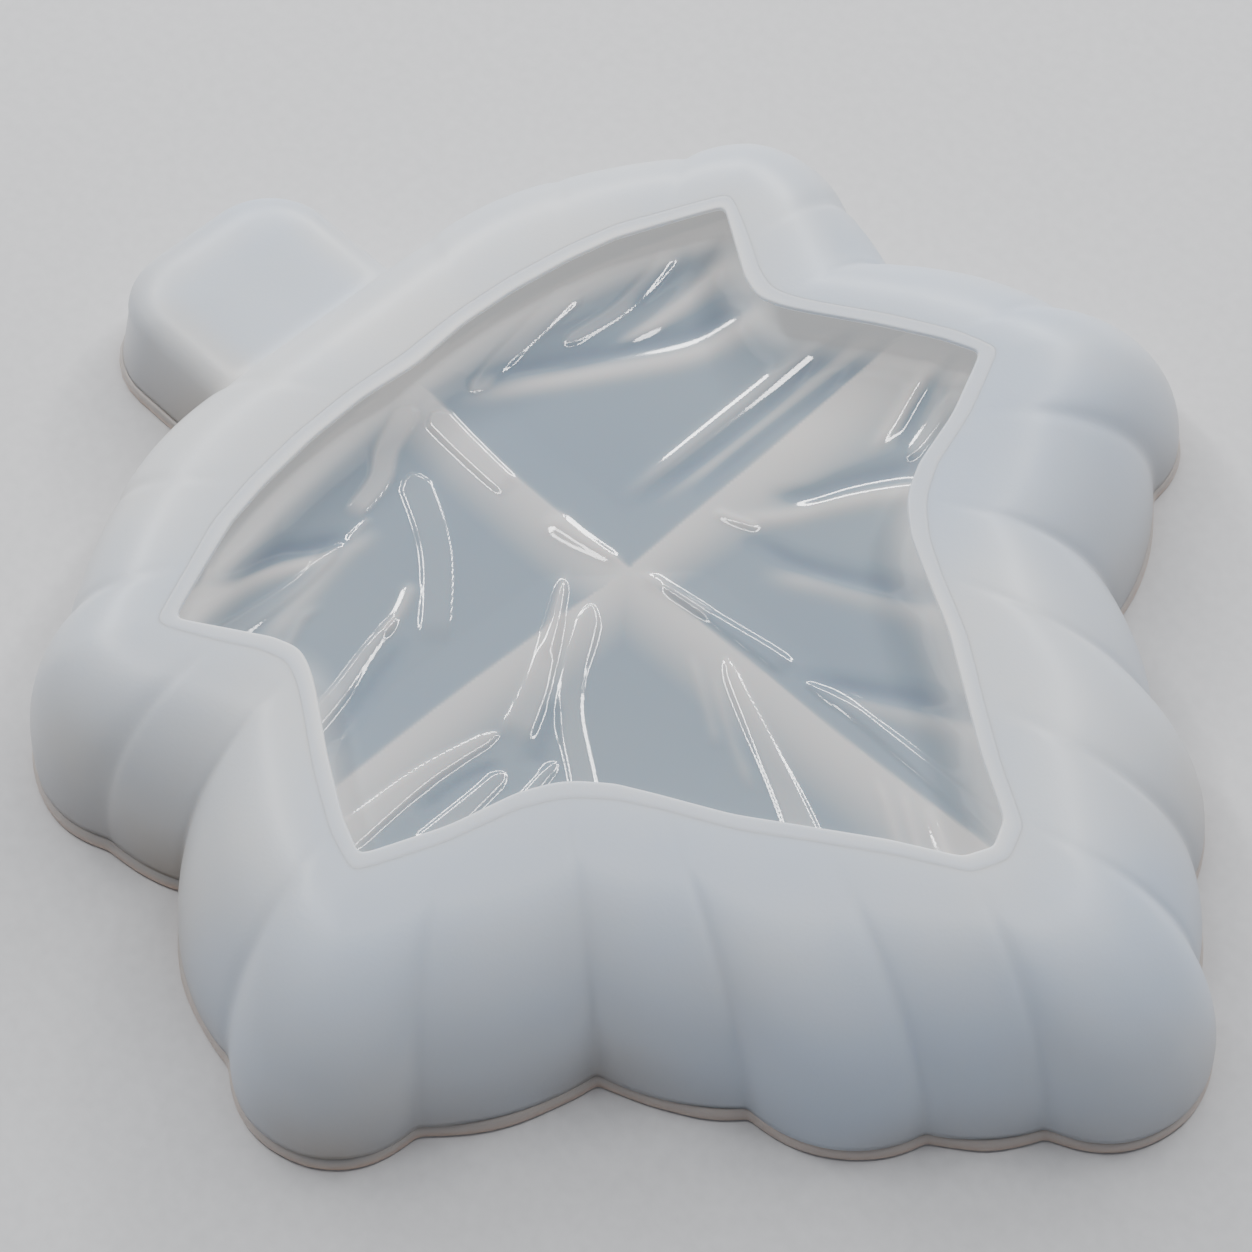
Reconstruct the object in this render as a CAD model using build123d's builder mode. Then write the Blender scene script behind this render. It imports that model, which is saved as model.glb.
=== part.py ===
"""Silicone casting mould for a five-lobed leaf dish, in millimetres.

The mould is a double skin. A pleated skirt with a pouring mouth stands round a hollow core that
carries the leaf face and its veins, and both skins meet in a flange at the foot. Resin fills the gap.
Skirt and core are divided at the notches between the leaf's lobes.
+X runs along the midrib to the leaf's tip, the stem points to -X, and the foot rests on z = 0.
"""

import math
import os

from build123d import *

# Overall heights
HEIGHT = 32.6  # foot to the top of the pouring lip
FLANGE = 2.6  # thickness of the foot flange
FACE_LEVEL = 23.6  # the leaf face above the table
VEIN_HEIGHT = 1.3  # crest of a vein above the leaf face

# Skins
WALL = 3.2  # skirt, lip and stem pocket
RESIN_GAP = 5.6  # room for the resin between skirt and core
CORE_SKIN = 3.0
FLANGE_PROUD = 0.8  # how far the flange stands out from the wall
LIP_WIDTH = 3.4  # flat band round the mouth
FACE_MARGIN = 2.0  # how far the leaf face runs on under the lip
SPAN_STEPS = 3  # wall profiles from a crown to the crease beside it

# Stem pocket
STEM_END = -125.0
STEM_ROOT = -72.0  # hidden inside the body
STEM_CENTRE = -2.5  # the stem lies a little to one side of the midrib
STEM_HALF_WIDTH = 24.2
STEM_HEIGHT = 21.5
STEM_CORNER = 15.0  # corner in plan
STEM_CORNER_LOSS = 0.6  # how fast the corner shrinks as the plan moves in
STEM_EDGE = 7.0  # rounding of the top edge
STEM_TAPER = 11.0  # degrees
STEM_STEPS = 4  # sections round the top edge

# Veins
VEIN_WIDTH = 9.0
CROSS_VEIN_X = -5.6  # where the side veins leave the midrib
BASAL_VEIN_X = -55.0  # where the basal veins leave the midrib
SIDE_LOBE = (7.0, 78.0)
BASAL_LOBE = (-45.0, 70.0)
TIP = (83.0, 0.0)

# Half of the outline, from the leaf's tip round to the stem. Each station is a point on the foot, the
# point of the mouth above it, and how square the wall's profile is there (0.55 is a quarter ellipse).
# The crowns of the bulges and the creases between them take turns.
STATIONS = [
    ((125.0, 0.0), (79.0, 0.0), 0.6),  # tip crown
    ((110.8, 18.6), (76.7, 5.0), 0.6),
    ((104.9, 27.3), (66.2, 11.2), 0.6),
    ((97.8, 33.2), (56.5, 18.0), 0.6),
    ((88.8, 46.2), (45.4, 25.8), 0.6),
    ((74.5, 50.6), (34.1, 31.9), 0.6),
    ((64.8, 58.7), (27.8, 35.5), 0.6),
    ((53.0, 64.0), (21.6, 40.9), 0.6),  # notch between the tip lobe and a side lobe
    ((48.8, 77.7), (18.1, 47.8), 0.6),
    ((39.4, 91.4), (14.9, 60.0), 0.6),
    ((30.5, 107.8), (8.9, 74.1), 0.6),  # side lobe crown
    ((8.8, 105.2), (2.0, 71.4), 0.6),
    ((-7.7, 100.9), (-9.0, 65.2), 0.6),
    ((-22.0, 89.0), (-26.3, 54.0), 0.6),  # notch between a side lobe and a basal lobe
    ((-28.5, 91.6), (-32.8, 56.4), 0.63),
    ((-37.6, 93.0), (-38.7, 60.2), 0.67),
    ((-60.5, 91.2), (-47.3, 65.8), 0.73),  # basal lobe crown
    ((-67.5, 77.8), (-52.3, 54.4), 0.78),
    ((-75.9, 65.9), (-55.8, 46.0), 0.78),
    ((-82.0, 55.5), (-58.0, 36.6), 0.78),
    ((-87.6, 41.3), (-59.8, 24.1), 0.78),
    ((-88.7, 27.2), (-60.4, 12.0), 0.78),  # root of the stem
    ((-88.7, 0.0), (-59.4, 0.0), 0.78),
]
TIP_NOTCH = 7
SIDE_NOTCH = 13
STEM_NOTCH = 21
LOBES = (
    "left_side_lobe",
    "left_basal_lobe",
    "stem_side",
    "right_basal_lobe",
    "right_side_lobe",
    "tip_lobe",
)


def mirrored(point):
    """The matching point on the other side of the midrib."""
    return (point[0], -point[1])


def all_round(half):
    """The stations of the whole outline."""
    other_half = [(mirrored(foot), mirrored(mouth), square) for foot, mouth, square in half[1:-1]]
    return half + other_half[::-1]


def moved_in(station, inset):
    """The station's foot, moved towards its mouth by inset."""
    foot, mouth = Vector(*station[0]), Vector(*station[1])
    return foot + (mouth - foot).normalized() * inset


def mouth_outline(margin):
    """A flat shape of the pouring mouth, moved out by margin."""
    corners = []
    for foot, mouth, _ in OUTLINE:
        inward = (Vector(*mouth) - Vector(*foot)).normalized()
        corners.append(Vector(*mouth) - inward * margin)
    with BuildSketch() as shape:
        with BuildLine():
            Polyline(corners, close=True)
        make_face()
    return shape.sketch


def span_handle(feet, crown, step):
    """The Bezier handle that makes the foot's span from a crown to a crease a round bulge."""
    centre = feet[crown]
    span = feet[(crown + step) % len(feet)] - centre
    incoming = centre - feet[(crown - step) % len(feet)]
    share = span.length / (span.length + incoming.length)
    turn = math.radians(incoming.get_signed_angle(span, Vector(0, 0, 1)) * share)
    return centre + span / 2 + Vector(span.Y, -span.X) * math.tan(turn / 2)


def foot_outline(inset):
    """A flat shape of the pleated foot, moved in by inset."""
    feet = [moved_in(station, inset) for station in OUTLINE]
    with BuildSketch() as shape:
        with BuildLine():
            for crown in range(0, len(feet), 2):
                Bezier(feet[crown - 1], span_handle(feet, crown, -1), feet[crown])
                Bezier(feet[crown], span_handle(feet, crown, 1), feet[(crown + 1) % len(feet)])
        make_face()
    return shape.sketch


def wall_stations(first, last):
    """The stations from one notch to another, with more of them along each round bulge."""
    feet = [Vector(*foot) for foot, _, _ in OUTLINE]
    fine = [OUTLINE[first]]
    for index in range(first, last):
        here, there = OUTLINE[index % len(OUTLINE)], OUTLINE[(index + 1) % len(OUTLINE)]
        here_is_crown = index % 2 == 0
        crown = (index if here_is_crown else index + 1) % len(OUTLINE)
        handle = span_handle(feet, crown, 1 if here_is_crown else -1)
        for step in range(1, SPAN_STEPS + 1):
            t = step / SPAN_STEPS
            foot = Vector(*here[0]) * (1 - t) ** 2 + handle * 2 * t * (1 - t) + Vector(*there[0]) * t**2
            mouth = Vector(*here[1]) * (1 - t) + Vector(*there[1]) * t
            square = here[2] * (1 - t) + there[2] * t
            fine.append(((foot.X, foot.Y), (mouth.X, mouth.Y), square))
    return fine


def arch(start, end, top, square):
    """Bezier points of one side of a wall's profile: upright at the flange, level at the top."""
    return (
        (start, FLANGE),
        (start, FLANGE + (top - FLANGE) * square),
        (end - (end - start) * square, top),
        (end, top),
    )


def wall(stations, outer_inset, inner_inset, margin, top, thickness):
    """A curved skin from the flange up to top, thickness high at its end, margin outside the mouth."""
    with BuildPart() as skin:
        for foot, mouth, square in stations:
            inward = Vector(*mouth) - Vector(*foot)
            end = inward.length - margin
            profile_plane = Plane(origin=foot, x_dir=inward, z_dir=(inward.Y, -inward.X, 0))
            with BuildSketch(profile_plane):
                with BuildLine():
                    Bezier(*arch(outer_inset, end, top, square))
                    Line((end, top), (end, top - thickness))
                    Bezier(*arch(inner_inset, end, top - thickness, square))
                    Line((inner_inset, FLANGE), (outer_inset, FLANGE))
                make_face()
        loft(ruled=True)
    return skin.part


def stem_sketch(inset):
    """The stem's plan, moved in all round by inset and running back into the body."""
    length = STEM_ROOT - STEM_END - inset
    with BuildSketch() as plan:
        with Locations((STEM_ROOT, STEM_CENTRE)):
            Rectangle(length, 2 * (STEM_HALF_WIDTH - inset), align=(Align.MAX, Align.CENTER))
        outer_corners = plan.vertices().group_by(Axis.X)[0]
        fillet(outer_corners, radius=STEM_CORNER - STEM_CORNER_LOSS * inset)
    return plan.sketch


def stem_bar(inset):
    """A solid bar in the shape of the stem, moved in by inset, leaning in and rounded over at the top."""
    shoulder = STEM_HEIGHT - STEM_EDGE
    lean = (shoulder - FLANGE) * math.tan(math.radians(STEM_TAPER))
    edge = STEM_EDGE - inset
    with BuildPart() as bar:
        with BuildSketch(Plane.XY.offset(FLANGE)):
            add(stem_sketch(inset))
        for step in range(STEM_STEPS + 1):
            angle = math.pi / 2 * step / STEM_STEPS
            with BuildSketch(Plane.XY.offset(shoulder + edge * math.sin(angle))):
                add(stem_sketch(inset + lean + edge * (1 - math.cos(angle))))
        loft(ruled=True)
    return bar.part


def vein(start, end):
    """A straight raised rib with a sharp crest, on the leaf face."""
    along = Vector(*end) - Vector(*start)
    across = (-along.Y, along.X, 0)
    profile_plane = Plane(origin=(start[0], start[1], FACE_LEVEL), x_dir=across, z_dir=along)
    with BuildPart() as rib:
        with BuildSketch(profile_plane):
            with BuildLine():
                Polyline((-VEIN_WIDTH / 2, 0), (0, VEIN_HEIGHT), (VEIN_WIDTH / 2, 0), close=True)
            make_face()
        extrude(amount=along.length)
    return rib.part


os.makedirs("parts", exist_ok=True)

OUTLINE = all_round(STATIONS)
core_inset = WALL + RESIN_GAP
hollow_inset = core_inset + CORE_SKIN

# Pleated outer wall from the foot up to the lip, and the side of the inner core up to the leaf face.
# Both are divided at the notches between the lobes, and the wall is open where the stem pocket joins it.
count = len(OUTLINE)
notches = [TIP_NOTCH, SIDE_NOTCH, STEM_NOTCH, count - STEM_NOTCH, count - SIDE_NOTCH, count - TIP_NOTCH]
notches.append(count + TIP_NOTCH)
for lobe, first, last in zip(LOBES, notches, notches[1:]):
    stations = wall_stations(first, last)
    with BuildPart() as lobe_wall:
        add(wall(stations, 0, WALL, LIP_WIDTH, HEIGHT, WALL))
        if lobe == "stem_side":
            add(stem_bar(WALL), mode=Mode.SUBTRACT)
    lobe_wall.part.label = f"{lobe}_wall"
    export_step(lobe_wall.part, f"parts/{lobe}_wall.step")

    with BuildPart() as lobe_core:
        add(wall(stations, core_inset, hollow_inset, FACE_MARGIN, FACE_LEVEL, CORE_SKIN))
    lobe_core.part.label = f"{lobe}_core"
    export_step(lobe_core.part, f"parts/{lobe}_core.step")

# Hollow box that forms the leaf's stem, open towards the body.
with BuildPart() as stem_pocket:
    add(stem_bar(0))
    add(stem_bar(WALL), mode=Mode.SUBTRACT)
    body_side = wall_stations(STEM_NOTCH - 1, count - STEM_NOTCH + 1)
    add(wall(body_side, 0, WALL, LIP_WIDTH, HEIGHT, HEIGHT - FLANGE), mode=Mode.SUBTRACT)
stem_pocket.part.label = "stem_pocket"
export_step(stem_pocket.part, "parts/stem_pocket.step")

# Flat band round the mouth, as thick as the wall that it finishes.
with BuildPart() as pour_lip:
    with BuildSketch(Plane.XY.offset(HEIGHT - WALL)):
        add(mouth_outline(LIP_WIDTH))
        add(mouth_outline(0), mode=Mode.SUBTRACT)
    extrude(amount=WALL)
pour_lip.part.label = "pour_lip"
export_step(pour_lip.part, "parts/pour_lip.step")

# Leaf-shaped top of the core.
with BuildPart() as leaf_face:
    with BuildSketch(Plane.XY.offset(FACE_LEVEL - CORE_SKIN)):
        add(mouth_outline(FACE_MARGIN))
    extrude(amount=CORE_SKIN)
leaf_face.part.label = "leaf_face"
export_step(leaf_face.part, "parts/leaf_face.step")

# Midrib with two side veins and two basal veins, which end at the edge of the leaf face.
with BuildPart() as leaf_veins:
    add(vein((BASAL_VEIN_X - VEIN_WIDTH, 0), TIP))
    for lobe_end in (SIDE_LOBE, mirrored(SIDE_LOBE)):
        add(vein((CROSS_VEIN_X, 0), lobe_end))
    for lobe_end in (BASAL_LOBE, mirrored(BASAL_LOBE)):
        add(vein((BASAL_VEIN_X, 0), lobe_end))
    with BuildSketch(Plane.XY.offset(FACE_LEVEL)):
        add(mouth_outline(FACE_MARGIN))
    extrude(amount=VEIN_HEIGHT, mode=Mode.INTERSECT)
leaf_veins.part.label = "leaf_veins"
export_step(leaf_veins.part, "parts/leaf_veins.step")

# Web that closes the resin space at the foot and stands proud of the wall all round.
with BuildPart() as foot_flange:
    with BuildSketch():
        add(foot_outline(-FLANGE_PROUD))
        add(stem_sketch(-FLANGE_PROUD))
        add(foot_outline(hollow_inset), mode=Mode.SUBTRACT)
    extrude(amount=FLANGE)
foot_flange.part.label = "foot_flange"
export_step(foot_flange.part, "parts/foot_flange.step")
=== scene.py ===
"""Visual model of a silicone casting mould for a leaf dish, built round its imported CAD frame, in metres."""

import math

import bpy
import numpy as np
from mathutils import Matrix, Vector
from mathutils.geometry import delaunay_2d_cdt


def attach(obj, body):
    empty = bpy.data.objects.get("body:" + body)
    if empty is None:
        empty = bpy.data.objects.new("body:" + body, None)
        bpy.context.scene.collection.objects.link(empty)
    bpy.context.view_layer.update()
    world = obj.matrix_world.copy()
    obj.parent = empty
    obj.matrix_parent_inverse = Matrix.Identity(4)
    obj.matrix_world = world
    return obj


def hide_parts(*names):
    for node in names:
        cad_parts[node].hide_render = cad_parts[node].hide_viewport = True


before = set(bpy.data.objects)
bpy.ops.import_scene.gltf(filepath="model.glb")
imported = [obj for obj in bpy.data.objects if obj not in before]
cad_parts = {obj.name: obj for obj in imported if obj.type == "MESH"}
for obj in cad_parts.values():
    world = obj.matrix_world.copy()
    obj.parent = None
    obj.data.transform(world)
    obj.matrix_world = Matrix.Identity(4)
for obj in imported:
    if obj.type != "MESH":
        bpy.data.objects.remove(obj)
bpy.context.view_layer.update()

MM = 0.001

# Lengths are in millimetres up to mesh_object(), which turns them into metres.
HEIGHT = 32.6
FLANGE = 2.6
FLANGE_PROUD = 0.8
FACE_LEVEL = 23.6
WALL = 3.2
RESIN_GAP = 5.6
CORE_SKIN = 3.0
CORE_INSET = WALL + RESIN_GAP
HOLLOW_INSET = CORE_INSET + CORE_SKIN
FACE_MARGIN = 2.0  # the leaf face ends this far outside the mouth

LIP_WIDTH = 3.4
LIP_EDGE = 1.0  # thickness to which the lip thins at the mouth
LIP_STEP = 0.06  # the lip stands this far above the shoulder round it
LIP_RISE = 0.7  # width over which it rises
CORNER = 0.04  # a loop of points this close to a sharp corner keeps the shading beside it flat

# The wall's mesh. Softness and width are counted in columns of it.
SPAN_SAMPLES = 18  # columns from a crown to the crease beside it
WALL_ROWS = 44
FACE_TURN = 14  # rows of the core's side that belong to the leaf face's turned edge
CREASE_SOFTNESS = 0.9
CREASE_WIDTH = 2.2
CREASE_GROOVE = 0.35  # extra depth of a crease between two pleats, in millimetres
MOUTH_SOFTNESS = 2.0
NOTCH_SOFTNESS = 5.5
PROFILE_SOFTNESS = 10.0

# Painted light near the lip: a paler colour and a glow stand in for the light that comes through the skirt
# into the shade under the lip
SIDE_PAINTED_LIGHT = 0.9
EDGE_PAINTED_LIGHT = 0.4
EDGE_PAINTED_LIGHT_REACH = 3.5
UNDER_LIP_PAINTED_GLOW = 0.36
UNDER_LIP_REACH = 4.2
LIP_PAINTED_GLOW = 0.4

# Half of the outline, as in the CAD: foot, mouth and squareness of the profile, at crowns and creases in turn
STATIONS = [
    ((125.0, 0.0), (79.0, 0.0), 0.6),
    ((110.8, 18.6), (76.7, 5.0), 0.6),
    ((104.9, 27.3), (66.2, 11.2), 0.6),
    ((97.8, 33.2), (56.5, 18.0), 0.6),
    ((88.8, 46.2), (45.4, 25.8), 0.6),
    ((74.5, 50.6), (34.1, 31.9), 0.6),
    ((64.8, 58.7), (27.8, 35.5), 0.6),
    ((53.0, 64.0), (21.6, 40.9), 0.6),
    ((48.8, 77.7), (18.1, 47.8), 0.6),
    ((39.4, 91.4), (14.9, 60.0), 0.6),
    ((30.5, 107.8), (8.9, 74.1), 0.6),
    ((8.8, 105.2), (2.0, 71.4), 0.6),
    ((-7.7, 100.9), (-9.0, 65.2), 0.6),
    ((-22.0, 89.0), (-26.3, 54.0), 0.6),
    ((-28.5, 91.6), (-32.8, 56.4), 0.63),
    ((-37.6, 93.0), (-38.7, 60.2), 0.67),
    ((-60.5, 91.2), (-47.3, 65.8), 0.73),
    ((-67.5, 77.8), (-52.3, 54.4), 0.78),
    ((-75.9, 65.9), (-55.8, 46.0), 0.78),
    ((-82.0, 55.5), (-58.0, 36.6), 0.78),
    ((-87.6, 41.3), (-59.8, 24.1), 0.78),
    ((-88.7, 27.2), (-60.4, 12.0), 0.78),
    ((-88.7, 0.0), (-59.4, 0.0), 0.78),
]

NOTCHES = [7, 13]  # stations at the notches between the tip, side and basal lobes

# Stem pocket: its root, sides and end in plan, and how its top rounds off
STEM_END = -125.0
STEM_ROOT = -72.0
STEM_CENTRE = -2.5
STEM_HALF_WIDTH = 24.2
STEM_HEIGHT = 21.5
STEM_CORNER = 15.0
STEM_CORNER_LOSS = 0.6
STEM_EDGE = 7.0
STEM_TAPER = 11.0
STEM_FILLET = 3.5  # where the pocket runs into the wall
STEM_FLARE = 0.12
STEM_BURIED = 1.2  # the pocket's root lies this far inside the wall
STEM_PILLOW = 3.2  # exponent of the top's rounding
STEM_CAVITY = (-98.0, 17.0)  # middle and half width of the cavity that shows through its top
STEM_SIDE_X = -60.0  # the skirt's stem side has its foot beyond this, and this near the midrib
STEM_SIDE_REACH = 45.0

# Foot flange: its trimmed edge wanders a little inside the CAD's, over TRIM_WAVE columns of the mesh
TRIM_SPARE = 0.1
TRIM_RAGGEDNESS = 0.16
TRIM_WAVE = 5.0
# Section of the trimmed edge: how far in from the outline, and how high
FOOT_SECTION = [(1.5, 0.0), (0.3, 0.0), (0.08, 0.2), (0.0, 0.6), (0.02, 1.1), (0.15, 1.6), (0.4, 2.1)]
FOOT_SHOULDER = (0.75, 1.5)

# Veins of the leaf face: line, height, reach on the crisp side, and reach on the soft side at each end.
# The soft side is to the right of the line as it runs.
VEINS = [
    ([(-66, 2), (-50, 0.5), (-30, -0.6), (-5, 0), (20, 1), (45, 1.4), (82, 3.5)], 0.9, 9.0, 11.0, 14.0),
    ([(-5, 1), (-5.5, 17), (-6, 40), (-8, 84)], 0.9, 9.0, 9.0, 22.0),
    ([(-7, -84), (-7, -46), (-6, -20), (-5, -1)], 0.9, 9.0, 13.0, 11.0),
    ([(-65, 0), (-62, 25), (-58, 45), (-49, 72)], 0.6, 6.0, 8.0, 6.0),
    ([(-50, -72), (-58, -45), (-62, -25), (-65, 0)], 0.6, 6.0, 6.0, 6.0),
]
# Wrinkles of the leaf face: line, half width at its two ends, steepness (below 0 for a valley), paleness
# (painted light, and painted shade where below 0).
FOLDS = [
    ([(-24, -2.4), (-18, -2.2), (-12, -1.3), (-6, 0)], 2.4, 1.1, 0.3, 0.5),
    ([(-4, 0.8), (4, 1.8), (13, 3)], 1.6, 1.3, 0.3, 0.4),
    ([(14, -4.5), (22, -9), (32, -15)], 0.9, 1.2, 0.25, 0.2),
    ([(19, -4), (25, -8), (32, -12), (42, -17)], 0.9, 1.2, 0.25, 0.2),
    ([(53, 0), (58, -2.5), (64, -6), (72, -11)], 0.8, 1.2, 0.28, 0.3),
    ([(58, 1.5), (66, -4), (74, -9)], 0.8, 1.2, 0.3, 0.3),
    ([(63, 2), (70, -2), (79, -6)], 0.9, 1.4, 0.34, 0.5),
    ([(-17.5, 8), (-17, 20), (-17, 36), (-17, 50), (-17.5, 68)], 1.3, 2.2, 0.33, 0.35),
    ([(-14.5, 10), (-13.5, 26), (-13.5, 42), (-14.5, 54), (-15, 72)], 1.1, 1.9, -0.09, -0.8),
    ([(-12, 12), (-11.5, 25), (-11.5, 40), (-11, 72)], 1.0, 2.2, 0.06, 0.5),
    ([(-8.5, 18), (-9, 37), (-8.5, 72)], 1.0, 1.8, -0.12, -0.6),
    ([(-1, 27), (5, 34), (8, 41), (12, 48), (18, 57)], 1.5, 3.2, -0.2, -0.9),
    ([(-4, 20), (1, 22), (6, 28), (10, 36), (16, 46), (22, 53)], 1.6, 2.8, 0.2, 0.7),
    ([(2, 18), (8, 21), (14, 22.5), (24, 27), (40, 37)], 1.3, 3.2, -0.14, -0.9),
    ([(-4, 19), (0, 20.5), (5, 23)], 1.1, 0.9, 0.31, 0.6),
    ([(10, 15), (21, 22), (30, 27), (44, 34)], 2.0, 3.2, 0.12, 0.5),
    ([(29, 5), (41, 12), (50, 18), (64, 25)], 1.3, 3.2, -0.14, -0.8),
    ([(36, 6), (48, 12), (58, 18), (68, 22)], 1.6, 3.0, 0.13, 0.4),
    ([(7, 47), (5, 56), (2, 66), (0, 76)], 1.3, 1.8, 0.34, 0.5),
    ([(10, 52), (6, 61), (3, 70), (1, 80)], 1.0, 1.6, -0.22, -0.8),
    ([(-54, 2), (-48, 14), (-40, 27), (-32, 41), (-30, 50), (-30, 64)], 1.8, 2.8, 0.14, 0.85),
    ([(-58, 6), (-51, 18), (-44, 30), (-36, 44), (-34, 54), (-33, 66)], 1.8, 2.6, -0.15, -0.75),
    ([(-45, 29), (-42, 37), (-41, 48), (-42, 66)], 0.9, 2.8, 0.28, 0.9),
    ([(-47, 40), (-48, 50), (-51, 62)], 1.1, 1.8, -0.2, -0.5),
    ([(-45, -24), (-44, -31)], 0.8, 0.8, 0.34, 0.2),
    ([(-58, -62), (-53, -50), (-51, -41), (-48, -36), (-44, -28)], 3.0, 1.4, -0.2, -0.9),
    ([(-54, -66), (-51, -56), (-49, -47), (-45, -38), (-43.5, -33)], 3.0, 1.2, 0.2, 0.95),
    ([(-37, -58), (-40, -44), (-42, -34), (-42, -24)], 2.2, 1.8, 0.18, 0.45),
    ([(-37, -42), (-37, -47), (-35, -52), (-33, -62)], 0.8, 1.2, 0.34, 0.2),
    ([(-30, -28), (-27, -33), (-24.5, -40)], 1.3, 1.1, 0.36, 0.5),
    ([(-22, -36), (-19, -46), (-14, -66)], 1.2, 2.4, -0.18, -0.5),
    ([(-13, -7), (-10, -11.5), (-5, -18), (-1, -24)], 1.0, 1.0, 0.36, 0.4),
    ([(5, -27), (9, -33), (13, -40)], 1.2, 2.2, -0.2, -0.6),
    ([(5.5, -60), (6, -50), (8, -42)], 1.4, 1.0, -0.2, -0.6),
]
# Flat-backed folds, whose two flanks both shine: line, half width at its two ends, paleness (painted light on
# the fold's back, painted shade where below 0).
LOOPS = [
    ([(-54, -1.4), (-46, -2.2), (-36, -2.8), (-31, -2.8)], 2.4, 2.0, 0.5),
    ([(2, 1.6), (12, 3), (18, 3.8), (24, 4.6), (30, 5)], 0.7, 2.0, -0.1),
    ([(33, 5), (38, 6), (42, 6.6), (48, 6.9), (64, 7), (84, 7.5)], 1.0, 2.6, 0.0),
    ([(20, -1.5), (25, -4), (31, -6.6), (38, -9.6), (48, -14), (62, -21)], 1.0, 3.2, 0.35),
    ([(12, 53), (9.5, 64), (6, 78)], 1.0, 1.8, 0.3),
    ([(-53, 7), (-54.5, 14), (-56, 24), (-58, 38)], 1.7, 2.6, 0.35),
    ([(-49.5, 27), (-48.5, 42), (-52, 58)], 1.3, 2.0, 0.3),
    ([(-58, -3), (-54.5, -12), (-50, -18), (-47.5, -27.5)], 2.6, 1.6, 0.6),
    ([(-44, -32.5), (-43, -41), (-43, -50), (-44, -64)], 1.1, 2.4, 0.1),
    ([(-47, -13), (-35, -19), (-27, -25), (-17, -35)], 2.8, 2.6, 0.1),
    ([(-26, -36), (-24, -44), (-21, -54), (-18.5, -68)], 0.8, 2.2, 0.4),
    ([(-11, -10), (-8, -14), (-3.5, -20.5), (1.5, -28.5), (6.5, -39)], 0.8, 3.0, 0.3),
    ([(-4, -10), (-0.5, -15), (4, -22), (9.5, -28), (19, -34.5), (30, -42)], 2.0, 2.2, 0.15),
    ([(3.5, -39), (2, -47), (1, -56), (1, -74)], 1.1, 2.8, 0.5),
    ([(10, -43.5), (10.5, -52), (11, -64)], 1.3, 2.4, 0.15),
    ([(14.5, -36), (17, -50)], 0.9, 1.4, 0.1),
]
LOOP_HEIGHT = 0.5
LOOP_FLANK = 1.6
# The veins' paleness is painted light: paler on the crest and down the soft slope.
VEIN_PAINTED_LIGHT = 0.9
CREST_PAINTED_LIGHT = 0.3  # how far the paleness of a vein's crest reaches over its crisp side
BELL_SLOPE = 0.86  # the steepest slope of a bell of height 1 and half width 1
# Shares of a wrinkle's length in which it rises from the face at its start and fades at its end
FOLD_START = 0.25
FOLD_END = 0.2
LOOP_START = 0.08
LOOP_END = 0.15
LINE_SAMPLES = 12  # points of a smooth line from each given point to the next
FACE_PITCH = 0.52  # spacing of the leaf face's points
UNDERSIDE_PITCH = 3.0
CHUNK = 12  # points of a long line that are compared with the others at once

LOBES = ("left_side_lobe", "left_basal_lobe", "stem_side", "right_basal_lobe", "right_side_lobe", "tip_lobe")


# ---- Outline and wall surfaces ----

def bezier(points, t):
    """Points of a Bezier curve of any degree at the shares t."""
    points = np.array(points, float)
    degree = len(points) - 1
    weights = [math.comb(degree, k) * (1 - t) ** (degree - k) * t**k for k in range(degree + 1)]
    return sum(w[:, None] * p for w, p in zip(weights, points))


def whole(half):
    """Adds the other side of the midrib to half an outline."""
    return np.concatenate([half, (half[1:-1] * [1, -1])[::-1]])


def soften(values, amount):
    """Rounds off a closed run of values with a bell-shaped filter, amount columns wide."""
    count = len(values)
    steps = np.minimum(np.arange(count), count - np.arange(count))
    bell = np.exp(-0.5 * (steps / amount) ** 2)
    spectrum = np.fft.fft(bell / bell.sum())[:, None]
    return np.real(np.fft.ifft(np.fft.fft(values, axis=0) * spectrum, axis=0))


def span_handle(centre, crease, other):
    """The Bezier handle of the foot's span from a crown to a crease, which makes the bulge round."""
    span, incoming = crease - centre, centre - other
    turn = math.atan2(incoming[0] * span[1] - incoming[1] * span[0], incoming @ span)
    share = np.linalg.norm(span) / (np.linalg.norm(span) + np.linalg.norm(incoming))
    return centre + span / 2 + np.array([span[1], -span[0]]) * math.tan(turn * share / 2)


def fine_outline():
    """Foot, mouth and squareness of the wall at every column of the mesh."""
    feet = whole(np.array([s[0] for s in STATIONS]))
    mouths = whole(np.array([s[1] for s in STATIONS]))
    squares = np.array([s[2] for s in STATIONS])
    squares = np.concatenate([squares, squares[1:-1][::-1]])
    count = len(feet)
    t = np.arange(SPAN_SAMPLES) / SPAN_SAMPLES
    foot_runs, mouth_runs, square_runs = [], [], []
    for index in range(count):
        after = (index + 1) % count
        if index % 2 == 0:
            handle = span_handle(feet[index], feet[after], feet[index - 1])
        else:
            handle = span_handle(feet[after], feet[index], feet[(index + 2) % count])
        foot_runs.append(bezier([feet[index], handle, feet[after]], t))
        mouth_runs.append(bezier([mouths[index], mouths[after]], t))
        square_runs.append(squares[index] * (1 - t) + squares[after] * t)
    foot = soften(np.concatenate(foot_runs), CREASE_SOFTNESS)
    mouth = np.concatenate(mouth_runs)
    at_notch = np.zeros((len(mouth), 1))
    for notch in NOTCHES + [count - notch for notch in NOTCHES]:
        at_notch[notch * SPAN_SAMPLES] = 1
    at_notch = soften(at_notch, SPAN_SAMPLES / 2)
    at_notch = at_notch / at_notch.max()
    mouth = soften(mouth, NOTCH_SOFTNESS) * at_notch + soften(mouth, MOUTH_SOFTNESS) * (1 - at_notch)
    square = soften(np.concatenate(square_runs)[:, None], PROFILE_SOFTNESS)[:, 0]
    return foot, mouth, square


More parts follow.
